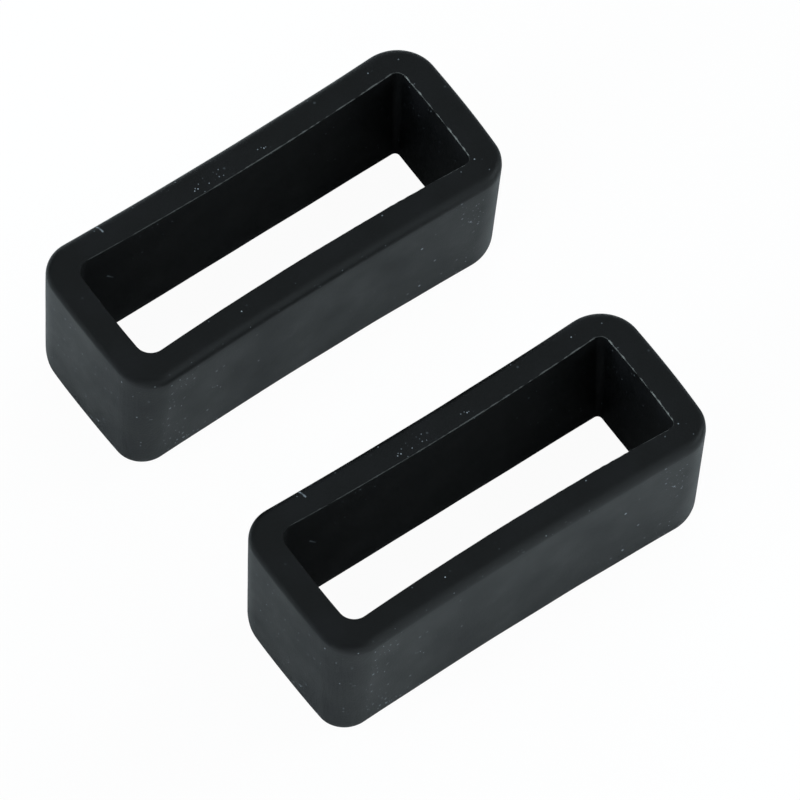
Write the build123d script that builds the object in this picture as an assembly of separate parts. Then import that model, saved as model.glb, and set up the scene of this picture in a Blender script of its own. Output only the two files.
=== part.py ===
# A matching pair of moulded rubber keepers for a watch strap. Each keeper is one
# slim closed loop. It slides along the strap and holds the strap's free end down.
#
# +X runs along a keeper's long walls, which is across the strap. +Y runs through
# the thickness of the strap, and +Z along the strap, which is up as the keepers
# stand. The origin is under the middle of the pair, on the surface below them.
# All lengths are in millimetres.

import math
import os

from build123d import *

# The slot at the top rim, which takes two layers of a 22 mm strap.
slot_width = 22.0
slot_depth = 6.95
slot_top_corner_radius = 0.65

# How far the slot's long sides are pinched in at the middle of the top rim, and how
# far its ends bulge out there.
slot_pinch = 0.3
slot_end_bulge = 0.18

# The slot at the bottom rim. Its long sides are straight there, and each lies this much
# further in than the corners of the top rim.
slot_side_taper = 0.17
slot_bottom_corner_radius = 0.4

# The narrow slope that breaks the slot's edge at both rims.
slot_edge_break = 0.1

# The band of the keeper around its slot.
long_wall = 1.85
end_wall = 1.7
keeper_height = 9.2
outer_corner_radius = 2.2

# How far the outside of each long wall is pinched in at the middle, and how far the
# outside of each end wall bulges out.
outer_pinch = 0.3
outer_end_bulge = 0.18

# The soft rounding of the outer edges of both rims: along the long walls, round the
# ends, and the number of steps that it is built in.
long_rounding = 0.65
end_rounding = 0.3
rounding_steps = 8

# How the pair stands: the clear space between the keepers' long walls, and how far
# the rear keeper stands to the right of the front one.
pair_gap = 9.25
pair_shift = 0.4

# How far the slot's cut runs past both rims.
cut_overrun = 1.0

# The keeper's size over its corners.
keeper_width = slot_width + 2 * end_wall
keeper_depth = slot_depth + 2 * long_wall


def side(start, end, bow):
    """One side of an outline, which bows to the left of its direction by bow."""
    if bow == 0:
        return Line(start, end)
    return SagittaArc(start, end, bow)


def outline(width, depth, pinch, bulge, corner_radius):
    """A rectangle, counter-clockwise, with pinched long sides and bulged ends."""
    right = width / 2
    back = depth / 2
    front_left = (-right, -back)
    front_right = (right, -back)
    back_right = (right, back)
    back_left = (-right, back)
    sides = [
        side(front_left, front_right, pinch),
        side(front_right, back_right, -bulge),
        side(back_right, back_left, pinch),
        side(back_left, front_left, -bulge),
    ]
    sketch = make_face(sides)
    return fillet(sketch.vertices(), corner_radius)


def rounding_inset(distance, radius):
    """How far a rounded edge lies inside the wall, at a distance from its rim."""
    if distance >= radius:
        return 0
    return radius - math.sqrt(radius**2 - (radius - distance) ** 2)


def outer_outline(distance):
    """The keeper's outside at a distance from the nearer rim."""
    long_inset = rounding_inset(distance, long_rounding)
    end_inset = rounding_inset(distance, end_rounding)
    width = keeper_width - 2 * end_inset
    depth = keeper_depth - 2 * long_inset
    corner_radius = outer_corner_radius - (long_inset + end_inset) / 2
    return outline(width, depth, outer_pinch, outer_end_bulge, corner_radius)


def body_block():
    """The keeper's outside, as a block with both rims' outer edges rounded."""
    turns = [math.pi / 2 * step / rounding_steps for step in range(rounding_steps + 1)]
    distances = [long_rounding * (1 - math.cos(turn)) for turn in turns]
    rounded_rim = [(distance, outer_outline(distance)) for distance in distances]
    sections = [Pos(Z=distance) * sketch for distance, sketch in rounded_rim]
    sections += [Pos(Z=keeper_height - distance) * sketch for distance, sketch in reversed(rounded_rim)]
    return loft(sections, ruled=True)


def slot_outline(at_top, growth):
    """The slot's outline at one rim, grown all round by growth."""
    width = slot_width + 2 * growth
    depth = slot_depth + 2 * growth
    if at_top:
        corner_radius = slot_top_corner_radius + growth
        return outline(width, depth, slot_pinch, slot_end_bulge, corner_radius)
    corner_radius = slot_bottom_corner_radius + growth
    return outline(width, depth - 2 * slot_side_taper, 0, 0, corner_radius)


def slot_core():
    """What the slot takes out of the block: the shape of the mould's core, from the
    bottom rim's straight outline to the top rim's pinched one."""
    stations = [
        (-cut_overrun, False, slot_edge_break),
        (0, False, slot_edge_break),
        (slot_edge_break, False, 0),
        (keeper_height - slot_edge_break, True, 0),
        (keeper_height, True, slot_edge_break),
        (keeper_height + cut_overrun, True, slot_edge_break),
    ]
    sections = [Pos(Z=height) * slot_outline(top, growth) for height, top, growth in stations]
    return loft(sections, ruled=True)


def keeper():
    """One keeper, standing on its bottom rim with the origin under its middle."""
    return body_block() - slot_core()


half_step_x = pair_shift / 2
half_step_y = (keeper_depth + pair_gap) / 2
places = {
    "rear_keeper": Pos(half_step_x, half_step_y),
    "front_keeper": Pos(-half_step_x, -half_step_y),
}

os.makedirs("parts", exist_ok=True)
loop = keeper()
for name, place in places.items():
    placed = place * loop
    placed.label = name
    export_step(placed, f"parts/{name}.step")
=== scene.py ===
# A matching pair of moulded rubber keepers for a watch strap, standing on a pale floor.
# Each keeper is one closed loop: a band of matte black silicone around a slot.
# Lengths are in metres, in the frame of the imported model.

import math

import bpy
from mathutils import Matrix, Vector, noise

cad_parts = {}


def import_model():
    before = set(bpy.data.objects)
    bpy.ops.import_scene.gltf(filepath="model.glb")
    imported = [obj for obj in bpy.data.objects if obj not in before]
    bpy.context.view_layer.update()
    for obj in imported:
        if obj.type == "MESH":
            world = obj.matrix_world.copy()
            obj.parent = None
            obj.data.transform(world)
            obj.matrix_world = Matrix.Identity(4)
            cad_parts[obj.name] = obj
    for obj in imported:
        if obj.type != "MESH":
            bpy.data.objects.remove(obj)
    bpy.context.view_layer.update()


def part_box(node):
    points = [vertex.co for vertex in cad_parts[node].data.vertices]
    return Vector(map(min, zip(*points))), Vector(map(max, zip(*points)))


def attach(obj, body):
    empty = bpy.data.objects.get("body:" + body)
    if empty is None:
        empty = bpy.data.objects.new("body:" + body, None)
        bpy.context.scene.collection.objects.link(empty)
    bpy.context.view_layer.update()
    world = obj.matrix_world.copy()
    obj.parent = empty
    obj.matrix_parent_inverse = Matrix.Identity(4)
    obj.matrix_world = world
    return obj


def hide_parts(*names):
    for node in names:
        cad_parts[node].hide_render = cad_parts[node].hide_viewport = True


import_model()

MM = 0.001

# The keeper's height comes from the frame. Its other sizes are those of the mould, but for
# the long walls, which came out a little thinner.
low_corner, high_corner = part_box("rear_keeper")
KEEPER_HEIGHT = high_corner.z - low_corner.z
SLOT_WIDTH = 22.0 * MM
SLOT_DEPTH = 6.95 * MM
SLOT_PINCH = 0.3 * MM
SLOT_SIDE_TAPER = 0.17 * MM
SLOT_EDGE_BREAK = 0.1 * MM
LONG_WALL = 1.825 * MM
END_WALL = 1.7 * MM
LONG_ROUNDING = 0.65 * MM
END_ROUNDING = 0.3 * MM

# The corners of an outline, from the front right one on, counter-clockwise.
CORNER_SIDES = [(1, -1), (1, 1), (-1, 1), (-1, -1)]

# How finely a keeper's mesh is cut: points along an end and a long side and round a
# corner of an outline, and rings up a wall, round a rounded edge and across a rim.
SIDE_POINTS = [70, 240]
CORNER_POINTS = 20
WALL_RINGS = 18
ROUNDING_RINGS = 10
RIM_RINGS = 9

# The outside as it came out: how far its long sides are pinched in and its ends bulge,
# and the radii of its corners at both rims, from the front right one on,
# counter-clockwise.
OUTER_PINCH = 0.24 * MM
OUTER_END_BULGE = 0.18 * MM
OUTER_TOP_CORNER_RADII = [1.85 * MM, 2.5 * MM, 2.1 * MM, 2.2 * MM]
OUTER_BOTTOM_CORNER_RADII = [2.6 * MM, 2.2 * MM, 2.7 * MM, 1.7 * MM]

# The slot as it came out: how far its ends bulge at the top rim, how far its back side
# leans in at the bottom rim, and the radii of its corners in the same order.
SLOT_END_BULGE = 0.08 * MM
SLOT_BACK_LEAN = 0.12 * MM
SLOT_TOP_CORNER_RADII = [0.35 * MM, 0.5 * MM, 0.8 * MM, 0.95 * MM]
SLOT_BOTTOM_CORNER_RADII = [0.4 * MM, 0.3 * MM, 0.4 * MM, 0.5 * MM]

# The flash on the slot's top edge: its least and greatest width, its strength at the
# start and the end of each side from the right end on, counter-clockwise, the part of it
# that is left in the corners and where it neither swells nor breaks, how finely it wanders
# and breaks, and how far the faces beside it are kept flat.
FLASH_LEAST_WIDTH = 0.02 * MM
FLASH_GREATEST_WIDTH = 0.12 * MM
FLASH_SIDE_SHARES = [(0.9, 0.9), (0.8, 0.3), (0.0, 0.0), (0.0, 0.6)]
FLASH_CORNER_SHARE = 0.4
FLASH_MIDDLE_SHARE = 0.8
FLASH_WAVES_PER_MM = 0.8
FLASH_BREAKS_PER_MM = 3.5
FLASH_FOOT = 0.03 * MM

# The rings of the flash, from the rim down into the slot. Each has three shares: the part
# of the flash's width that it lies out on the rim, the rest being how far down the slot it
# lies, and the parts of the foot that it lies further out and further down.
FLASH_RING_SHARES = [(1, 1, 0), (1, 0, 0), (0.5, 0, 0), (0, 0, 0), (0, 0, 1)]

# The share of the dust that each side's outside holds, from the right end on,
# counter-clockwise, the part of it that lies on the corners, and the share that all other
# faces hold.
OUTSIDE_DUST_SHARES = [0.35, 0.2, 0.25, 1.0]
CORNER_DUST_SHARE = 0.35
OTHER_DUST_SHARE = 0.15

# All faces lie up to SURFACE_WAVE below their true place.
SURFACE_WAVE = 0.03 * MM
SURFACE_WAVES_PER_MM = 0.3

# The camera, as the photograph was taken: a long lens, high up and slightly tilted. It
# sees nothing past its reach.
CAMERA_AZIMUTH = -39.05
CAMERA_ELEVATION = 61.75
CAMERA_ROLL = 3.98
CAMERA_DISTANCE = 1800.0 * MM
CAMERA_AIM = Vector((0.73 * MM, -1.62 * MM, KEEPER_HEIGHT / 2))
CAMERA_LENS = 1463.6
CAMERA_REACH = 10.0

# The room. The floor looks nearly white to the camera, and it keeps the keepers' faint
# shadows. Each softbox has what it does, a direction, a width and a height in metres and
# a brightness. The rubber mirrors the softboxes that shine, and the floor is lit by those
# that light. The rubber mirrors the floor too, so both kinds of light shape it.
WORLD_LEVEL = 0.01
FLOOR_COLOUR = (0.8, 0.8, 0.8, 1.0)
FLOOR_SIZE = 16.0
FLOOR_WHITE_SHARE = 0.96
SOFTBOX_DISTANCE = 3.0
SOFTBOX_COLOUR = (0.83, 0.95, 1.0)
SOFTBOXES = {
    "low_front_softbox": ("shines", 7.0, 10.0, 2.35, 1.05, 1.9),
    "front_softbox": ("shines", -38.0, 30.0, 2.05, 1.05, 1.6),
    "right_softbox": ("shines", 52.0, 30.0, 2.05, 1.05, 3.95),
    "high_right_softbox": ("shines and lights", 52.0, 50.0, 1.5, 1.05, 1.6),
    "low_left_softbox": ("shines and lights", -128.0, 10.0, 2.35, 1.05, 1.65),
    "high_left_softbox": ("shines and lights", -128.0, 50.0, 1.5, 1.05, 2.7),
    "rear_softbox": ("shines and lights", 130.0, 30.0, 3.5, 1.5, 0.9),
    "front_top_softbox": ("shines and lights", -38.0, 74.0, 1.4, 1.4, 0.5),
    "rear_top_softbox": ("shines and lights", 142.0, 74.0, 1.4, 1.4, 0.8),
    "left_floor_lamp": ("lights", -85.0, 12.0, 2.35, 1.05, 25.0),
    "right_floor_lamp": ("lights", 85.0, 12.0, 2.35, 1.05, 22.0),
    "rear_floor_lamp": ("lights", 142.0, 10.0, 2.35, 1.05, 15.0),
}

# The rubber's surface. Lengths are in millimetres, as its patterns are. Clouds begin where
# their pattern passes its start value, and are full past its full one. Each kind of dust
# has the spacing of the places where a speck can lie, the radius of a speck, and the share
# of the places that hold one on the dustiest faces. A speck is palest over its core.
RUBBER = (0.0006, 0.0007, 0.0008, 1.0)
CLOUDY_RUBBER = (0.002, 0.0021, 0.0025, 1.0)
CLOUDS_PER_MM = 0.35
CLOUD_DETAIL = 4.0
CLOUD_START = 0.4
CLOUD_FULL = 0.7
RUBBER_IOR = 1.41
LEAST_ROUGHNESS = 0.38
ROUGHNESS_RANGE = 0.3
GRAIN_PER_MM = 9.0
GRAIN_DETAIL = 2.0
GRAIN_HEIGHT = 0.01
FLASH = (0.13, 0.135, 0.13, 1.0)
DUST = (0.27, 0.3, 0.33, 1.0)
DUST_SPACING = 0.55
DUST_RADIUS = 0.11
DUST_SHARE = 0.7
FINE_DUST_SPACING = 0.25
FINE_DUST_RADIUS = 0.055
FINE_DUST_SHARE = 0.25
SPECK_CORE_SHARE = 0.3
CLUSTER_REACH = 0.9

# Marks on both keepers, in millimetres from the middle of the keeper's foot: places
# where dust has gathered, and scratches, each with its two ends, half its width and how
# pale it is.
CLUSTERS = [
    (-2.4, 3.7, 9.2), (-1.4, 3.7, 9.2), (2.0, 3.4, 9.2),
    (-9.3, -5.1, 1.6), (-7.5, -5.1, 4.5), (2.0, -5.1, 4.0),
]
SCRATCHES = [
    ((-8.5, 4.95, 9.02), (-8.43, 4.45, 9.2), 0.08, 0.6),
    ((-8.82, 3.34, 6.15), (-8.42, 3.35, 5.6), 0.08, 1.0),
]

WHITE = (1.0, 1.0, 1.0, 1.0)


class Shade:
    """A value in a node tree. Arithmetic on it adds Math nodes."""

    def __init__(self, tree, socket=None):
        self.tree = tree
        self.socket = socket

    def node(self, kind, settings, inputs):
        """Adds a node: its settings first, then the value or the link of each input."""
        made = self.tree.nodes.new("ShaderNode" + kind)
        for name, value in settings.items():
            setattr(made, name, value)
        for name, value in inputs.items():
            if isinstance(value, Shade):
                self.tree.links.new(value.socket, made.inputs[name])
            else:
                made.inputs[name].default_value = value
        return Shade(self.tree, made.outputs[0] if made.outputs else None)

    def __getitem__(self, name):
        """Another output of the node that made this value."""
        return Shade(self.tree, self.socket.node.outputs[name])

    def maths(self, operation, first, second):
        return self.node("Math", {"operation": operation}, {0: first, 1: second})

    def __add__(self, other):
        return self.maths("ADD", self, other)

    def __radd__(self, other):
        return self.maths("ADD", other, self)

    def __mul__(self, other):
        return self.maths("MULTIPLY", self, other)

    def __rmul__(self, other):
        return self.maths("MULTIPLY", other, self)

    def __gt__(self, other):
        return self.maths("GREATER_THAN", self, other)


def new_material(name):
    """A material with an empty node tree, and the Shade that adds nodes to it."""
    material = bpy.data.materials.new(name)
    material.use_nodes = True
    material.node_tree.nodes.clear()
    return material, Shade(material.node_tree)


def outline(width, depth, corner_radii, pinch, bulge):
    """Points round a rim, counter-clockwise: a rectangle with rounded corners, whose
    long sides are pinched in and whose ends bulge out."""
    arcs = []
    for corner, radius in enumerate(corner_radii):
        x = CORNER_SIDES[corner][0] * (width / 2 - radius)
        y = CORNER_SIDES[corner][1] * (depth / 2 - radius)
        arc = []
        for step in range(CORNER_POINTS + 1):
            angle = math.radians(90 * (corner - 1 + step / CORNER_POINTS))
            arc.append(Vector((x + radius * math.cos(angle), y + radius * math.sin(angle))))
        arcs.append(arc)
    points = []
    for corner, arc in enumerate(arcs):
        count = SIDE_POINTS[corner % 2]
        next_start = arcs[(corner + 1) % len(arcs)][0]
        points += arc + [arc[-1].lerp(next_start, step / count) for step in range(1, count)]
    return [bowed(x, y, width / 2, depth / 2, pinch, bulge) for x, y in points]


def bowed(x, y, half_width, half_depth, pinch, bulge):
    """A point of an outline, moved by the pinch of the long sides and the bulge of the ends."""
    share_x = x / half_width
    share_y = y / half_depth
    return Vector((
        x + share_x * bulge * (1 - share_y ** 2),
        y - share_y * pinch * (1 - share_x ** 2),
        0.0,
    ))


def rounding_inset(distance, radius):
    """How far a rounded edge lies inside the wall, at a distance from its rim."""
    if distance >= radius:
        return 0.0
    return radius - math.sqrt(radius ** 2 - (radius - distance) ** 2)


def outer_ring(height):
    """A ring round the keeper's outside."""
    distance = min(height, KEEPER_HEIGHT - height)
    long_inset = rounding_inset(distance, LONG_ROUNDING)
    end_inset = rounding_inset(distance, END_ROUNDING)
    width = SLOT_WIDTH + 2 * (END_WALL - end_inset)
    depth = SLOT_DEPTH + 2 * (LONG_WALL - long_inset)
    inset = (long_inset + end_inset) / 2
    top = height / KEEPER_HEIGHT
    pairs = zip(OUTER_TOP_CORNER_RADII, OUTER_BOTTOM_CORNER_RADII)
    corner_radii = [high * top + low * (1 - top) - inset for high, low in pairs]
    ring = outline(width, depth, corner_radii, OUTER_PINCH, OUTER_END_BULGE)
    return [point + Vector((0, 0, height)) for point in ring]


def slot_ring(growth, height):
    """A ring round the slot, between its straight bottom and its pinched top outline. The
    back side leans in towards the bottom."""
    top = height / KEEPER_HEIGHT
    bottom = 1 - top
    width = SLOT_WIDTH + 2 * growth
    depth = SLOT_DEPTH + 2 * (growth - SLOT_SIDE_TAPER * bottom)
    pairs = zip(SLOT_TOP_CORNER_RADII, SLOT_BOTTOM_CORNER_RADII)
    corner_radii = [high * top + low * bottom + growth for high, low in pairs]
    ring = outline(width, depth, corner_radii, SLOT_PINCH * top, SLOT_END_BULGE * top)
    lean = SLOT_BACK_LEAN * bottom
    return [point + Vector((0, -lean * max(2 * point.y / depth, 0), height)) for point in ring]


def rings_between(first, last, count):
    """The rings that lie evenly between two others."""
    shares = [step / count for step in range(1, count)]
    return [[a.lerp(b, share) for a, b in zip(first, last)] for share in shares]


def along_sides(ends, corner_share):
    """A value at each point of a ring, from its values at the two ends of each side. In
    the corner before a side it is only a share of the side's first value."""
    values = []
    for side, (start, end) in enumerate(ends):
        count = SIDE_POINTS[side % 2]
        values += [start * corner_share] * CORNER_POINTS
        values += [start + (end - start) * step / count for step in range(count)]
    return values


def slot_edge():
    """The rings of the slot's broken edge at the top rim, going down, and the strength of
    the flash on it at each point."""
    inner = slot_ring(0.0, KEEPER_HEIGHT)
    outer = slot_ring(SLOT_EDGE_BREAK, KEEPER_HEIGHT)
    strengths = []
    for point, even in zip(inner, along_sides(FLASH_SIDE_SHARES, FLASH_CORNER_SHARE)):
        wander = noise.noise(point / MM * FLASH_WAVES_PER_MM)
        breaks = noise.noise(point / MM * FLASH_BREAKS_PER_MM)
        strengths.append(even * min(max(FLASH_MIDDLE_SHARE + wander + breaks, 0.0), 1.0))
    rings = []
    for share, beyond, below in FLASH_RING_SHARES:
        ring = []
        for near, far, strength in zip(inner, outer, strengths):
            width = FLASH_LEAST_WIDTH + (FLASH_GREATEST_WIDTH - FLASH_LEAST_WIDTH) * strength
            across = (far - near).normalized() * (width * share + FLASH_FOOT * beyond)
            down = Vector((0, 0, width * (1 - share) + FLASH_FOOT * below))
            ring.append(near + across - down)
        rings.append(ring)
    return rings, strengths


def keeper_rings():
    """All rings of a keeper: up the outside, over the top rim, down the slot and back.
    Beside them are the strength of the flash and the share of dust at each point."""
    turns = [math.pi / 2 * step / ROUNDING_RINGS for step in range(ROUNDING_RINGS + 1)]
    distances = [LONG_ROUNDING * (1 - math.cos(turn)) for turn in turns]
    bottom_edge = [outer_ring(distance) for distance in distances]
    top_edge = [outer_ring(KEEPER_HEIGHT - distance) for distance in reversed(distances)]
    edge, strengths = slot_edge()
    slot_low = slot_ring(0.0, SLOT_EDGE_BREAK)
    slot_bottom = slot_ring(SLOT_EDGE_BREAK, 0.0)
    rings = bottom_edge + rings_between(bottom_edge[-1], top_edge[0], WALL_RINGS)
    dusty_rows = len(rings) + ROUNDING_RINGS // 2
    rings += top_edge + rings_between(top_edge[-1], edge[0], RIM_RINGS)
    flash_row = len(rings) + len(edge) // 2
    rings += edge + rings_between(edge[-1], slot_low, WALL_RINGS)
    rings += [slot_low, slot_bottom] + rings_between(slot_bottom, bottom_edge[0], RIM_RINGS)
    count = len(strengths)
    flash = [0.0] * count * flash_row + strengths
    flash += [0.0] * (count * len(rings) - len(flash))
    side_shares = [(share, share) for share in OUTSIDE_DUST_SHARES]
    dusty = along_sides(side_shares, CORNER_DUST_SHARE) * dusty_rows
    dusty += [OTHER_DUST_SHARE] * (count * len(rings) - len(dusty))
    return rings, {"flash": flash, "dusty": dusty}


def closed_mesh(name, rings):
    """A mesh of four-sided faces between closed rings, the last ring joined to the first."""
    count = len(rings[0])
    points = [point for ring in rings for point in ring]
    faces = []
    for row in range(len(rings)):
        next_row = (row + 1) % len(rings)
        for column in range(count):
            next_column = (column + 1) % count
            faces.append((
                row * count + column,
                row * count + next_column,
                next_row * count + next_column,
                next_row * count + column,
            ))
    mesh = bpy.data.meshes.new(name)
    mesh.from_pydata(points, [], faces)
    mesh.shade_smooth()
    return mesh


def moulding():
    """The mesh that both keepers share, with its middle over the origin."""
    rings, values = keeper_rings()
    mesh = closed_mesh("moulding", rings)
    normals = [vertex.normal.copy() for vertex in mesh.vertices]
    for vertex, normal in zip(mesh.vertices, normals):
        wave = noise.noise(vertex.co / MM * SURFACE_WAVES_PER_MM)
        vertex.co -= normal * SURFACE_WAVE * (1 + wave) / 2
    for name, numbers in values.items():
        mesh.attributes.new(name, "FLOAT", "POINT").data.foreach_set("value", numbers)
    return mesh


def mixed(shade, share, first, second):
    """A colour between two others."""
    return shade.node("Mix", {"data_type": "RGBA"}, {"Factor": share, "A": first, "B": second})["Result"]


def between(shade, value, start, end):
    """0 where a value lies before start, 1 where it lies past end, and smooth between."""
    return shade.node("MapRange", {"interpolation_type": "SMOOTHSTEP"}, {
        "Value": value, "From Min": start, "From Max": end,
    })


def distance_between(shade, place, other):
    """How far a point lies from another."""
    return shade.node("VectorMath", {"operation": "DISTANCE"}, {0: place, 1: other})["Value"]


def specks(shade, place, spacing, radius):
    """1 in the middle of scattered round specks and 0 outside them. Beside it are two
    values from 0 to 1, both random for each speck."""
    cells = shade.node("TexVoronoi", {}, {"Vector": place, "Scale": 1 / spacing})
    chance = shade.node("SeparateColor", {}, {0: cells["Color"]})
    edge = radius / spacing
    disc = between(shade, cells, edge, SPECK_CORE_SHARE * edge)
    return disc, chance["Red"], chance["Green"]


def dust(shade, place):
    """How much dust lies at a point: large specks and a few fine ones on the dusty faces,
    and many fine ones in the clusters."""
    dusty = shade.node("Attribute", {"attribute_name": "dusty"}, {})["Fac"]
    disc, weight, chance = specks(shade, place, DUST_SPACING, DUST_RADIUS)
    large = disc * weight * weight * dusty * (dusty * DUST_SHARE > chance)
    disc, weight, chance = specks(shade, place, FINE_DUST_SPACING, FINE_DUST_RADIUS)
    share = dusty * FINE_DUST_SHARE
    for centre in CLUSTERS:
        share = share + between(shade, distance_between(shade, place, centre), CLUSTER_REACH, 0.0)
    return large + disc * weight * (share > chance)


def scratch(shade, place, start, end, half_width):
    """1 in the middle of a short straight scratch and 0 away from it."""
    start = Vector(start)
    line = Vector(end) - start
    to_point = shade.node("VectorMath", {"operation": "SUBTRACT"}, {0: place, 1: start})
    along = shade.node("VectorMath", {"operation": "DOT_PRODUCT"}, {0: to_point, 1: line})["Value"]
    share = shade.node("Clamp", {}, {0: along * (1 / line.length_squared)})
    nearest = shade.node("VectorMath", {"operation": "SCALE"}, {0: line, "Scale": share})
    return between(shade, distance_between(shade, to_point, nearest), half_width, 0.0)


def rubber():
    """Matte black silicone, with a pale moulding edge, dust and a few scratches."""
    material, shade = new_material("black_silicone")
    metres = shade.node("TexCoord", {}, {})["Object"]
    place = shade.node("VectorMath", {"operation": "SCALE"}, {0: metres, "Scale": 1 / MM})
    clouds = shade.node("TexNoise", {}, {
        "Vector": place, "Scale": CLOUDS_PER_MM, "Detail": CLOUD_DETAIL,
    })
    grain = shade.node("TexNoise", {}, {
        "Vector": place, "Scale": GRAIN_PER_MM, "Detail": GRAIN_DETAIL,
    })
    flash = shade.node("Attribute", {"attribute_name": "flash"}, {})["Fac"]
    pale = dust(shade, place)
    for start, end, half_width, paleness in SCRATCHES:
        pale = pale + scratch(shade, place, start, end, half_width) * paleness
    cloudy = between(shade, clouds, CLOUD_START, CLOUD_FULL)
    colour = mixed(shade, cloudy, RUBBER, CLOUDY_RUBBER)
    colour = mixed(shade, flash, colour, FLASH)
    colour = mixed(shade, pale, colour, DUST)
    normal = shade.node("Bump", {}, {
        "Strength": 1.0, "Distance": GRAIN_HEIGHT * MM, "Height": grain,
    })
    surface = shade.node("BsdfPrincipled", {}, {
        "Base Color": colour,
        "Roughness": clouds * ROUGHNESS_RANGE + LEAST_ROUGHNESS,
        "IOR": RUBBER_IOR,
        "Normal": normal,
    })
    shade.node("OutputMaterial", {}, {"Surface": surface})
    return material


def keeper(node, mesh):
    """The detailed keeper that stands where the CAD node stands."""
    low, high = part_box(node)
    piece = bpy.data.objects.new(node + "_moulding", mesh)
    piece.location = ((low.x + high.x) / 2, (low.y + high.y) / 2, low.z)
    bpy.context.scene.collection.objects.link(piece)
    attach(piece, node)
    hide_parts(node)


def floor_material():
    """A pale floor, which the camera sees nearly white, with the shadows kept faint."""
    material, shade = new_material("pale_floor")
    matte = shade.node("BsdfDiffuse", {}, {"Color": FLOOR_COLOUR})
    white = shade.node("Emission", {}, {"Color": WHITE, "Strength": 1.0})
    seen = shade.node("LightPath", {}, {}) * FLOOR_WHITE_SHARE
    surface = shade.node("MixShader", {}, {0: seen, 1: matte, 2: white})
    shade.node("OutputMaterial", {}, {"Surface": surface})
    return material


def floor():
    """A wide flat floor under the keepers."""
    half = FLOOR_SIZE / 2
    corners = [(-half, -half, 0), (half, -half, 0), (half, half, 0), (-half, half, 0)]
    mesh = bpy.data.meshes.new("floor")
    mesh.from_pydata(corners, [], [(0, 1, 2, 3)])
    mesh.materials.append(floor_material())
    piece = bpy.data.objects.new("floor", mesh)
    bpy.context.scene.collection.objects.link(piece)


def world():
    """Even light from all round, which the camera sees as a white background."""
    made = bpy.data.worlds.new("studio")
    made.use_nodes = True
    made.node_tree.nodes.clear()
    shade = Shade(made.node_tree)
    level = (WORLD_LEVEL, WORLD_LEVEL, WORLD_LEVEL, 1.0)
    even = shade.node("Background", {}, {"Color": level, "Strength": 1.0})
    white = shade.node("Background", {}, {"Color": WHITE, "Strength": 1.0})
    seen = shade.node("LightPath", {}, {})
    surface = shade.node("MixShader", {}, {0: seen, 1: even, 2: white})
    shade.node("OutputWorld", {}, {"Surface": surface})
    bpy.context.scene.world = made


def direction(azimuth, elevation):
    """The way from the object to a place. Azimuth 0 is in front, at -Y, and 90 at +X."""
    turn = math.radians(azimuth)
    rise = math.radians(elevation)
    return Vector((math.sin(turn) * math.cos(rise), -math.cos(turn) * math.cos(rise), math.sin(rise)))


def softbox(name, work, azimuth, elevation, width, height, brightness):
    """A rectangular lamp that looks at the object from one direction. Its power grows with
    its area, so its brightness doesn't depend on its size."""
    lamp = bpy.data.lights.new(name, "AREA")
    lamp.shape = "RECTANGLE"
    lamp.size = width
    lamp.size_y = height
    lamp.color = SOFTBOX_COLOUR
    lamp.energy = brightness * math.pi * width * height
    piece = bpy.data.objects.new(name, lamp)
    away = direction(azimuth, elevation)
    piece.location = away * SOFTBOX_DISTANCE
    piece.rotation_euler = away.to_track_quat("Z", "Y").to_euler()
    piece.visible_camera = False
    piece.visible_glossy = "shines" in work
    piece.visible_diffuse = "lights" in work
    bpy.context.scene.collection.objects.link(piece)


def camera():
    """The camera, at the photograph's angle and framing."""
    back = direction(CAMERA_AZIMUTH, CAMERA_ELEVATION)
    level_right = Vector((0, 0, 1)).cross(back).normalized()
    level_up = back.cross(level_right)
    roll = math.radians(CAMERA_ROLL)
    right = math.cos(roll) * level_right + math.sin(roll) * level_up
    up = math.cos(roll) * level_up - math.sin(roll) * level_right
    turned = Matrix((right, up, back)).transposed()
    data = bpy.data.cameras.new("camera")
    data.lens = CAMERA_LENS
    data.clip_end = CAMERA_REACH
    piece = bpy.data.objects.new("camera", data)
    piece.matrix_world = Matrix.Translation(CAMERA_AIM + back * CAMERA_DISTANCE) @ turned.to_4x4()
    bpy.context.scene.collection.objects.link(piece)
    bpy.context.scene.camera = piece


shared_mesh = moulding()
shared_mesh.materials.append(rubber())
for node_name in ("rear_keeper", "front_keeper"):
    keeper(node_name, shared_mesh)

floor()
world()
for lamp_name, settings in SOFTBOXES.items():
    softbox(lamp_name, *settings)
camera()
bpy.context.scene.view_settings.view_transform = "Standard"
